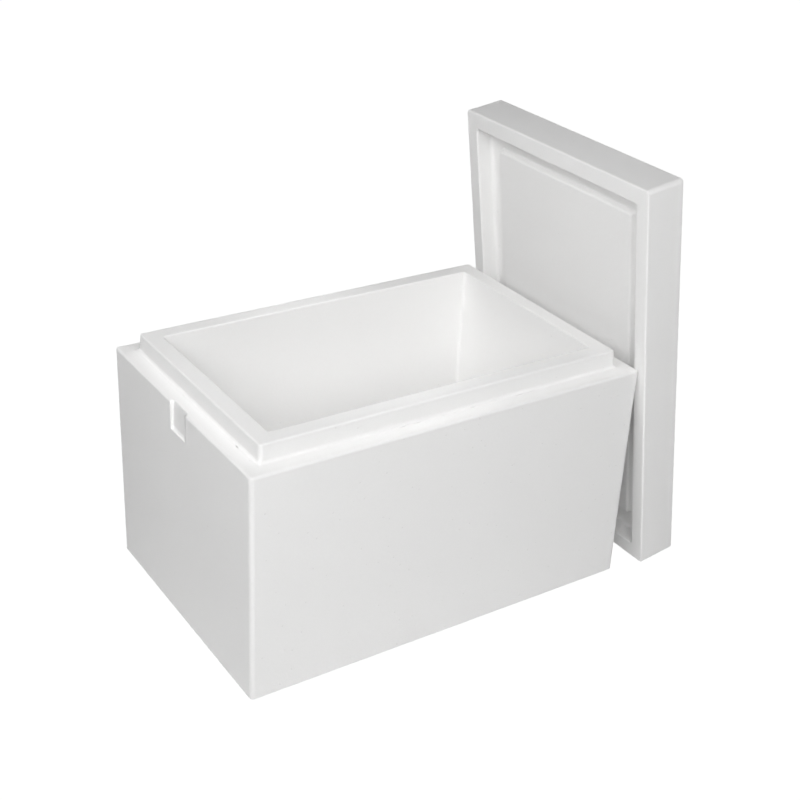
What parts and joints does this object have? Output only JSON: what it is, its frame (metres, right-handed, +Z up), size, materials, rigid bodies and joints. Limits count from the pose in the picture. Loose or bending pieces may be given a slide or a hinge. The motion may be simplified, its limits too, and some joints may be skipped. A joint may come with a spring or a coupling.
{
  "type": "insulated foam box",
  "caption": "Rectangular box moulded from white foam beads, with a raised lip round its mouth and a loose socketed lid stood on end against one end.",
  "frame": {"origin": "centre of the flat base of the box, on the surface that it stands on", "axes": "+Z up; +X along the box's length, towards the end that the lid leans on; +Y across the box, away from the long side in front"},
  "size_m": [0.5904, 0.34, 0.5046],
  "materials": {
    "foam": "matte"
  },
  "bodies": {
    "root": {"box": "foam", "lid": "foam"}
  },
  "joints": []
}
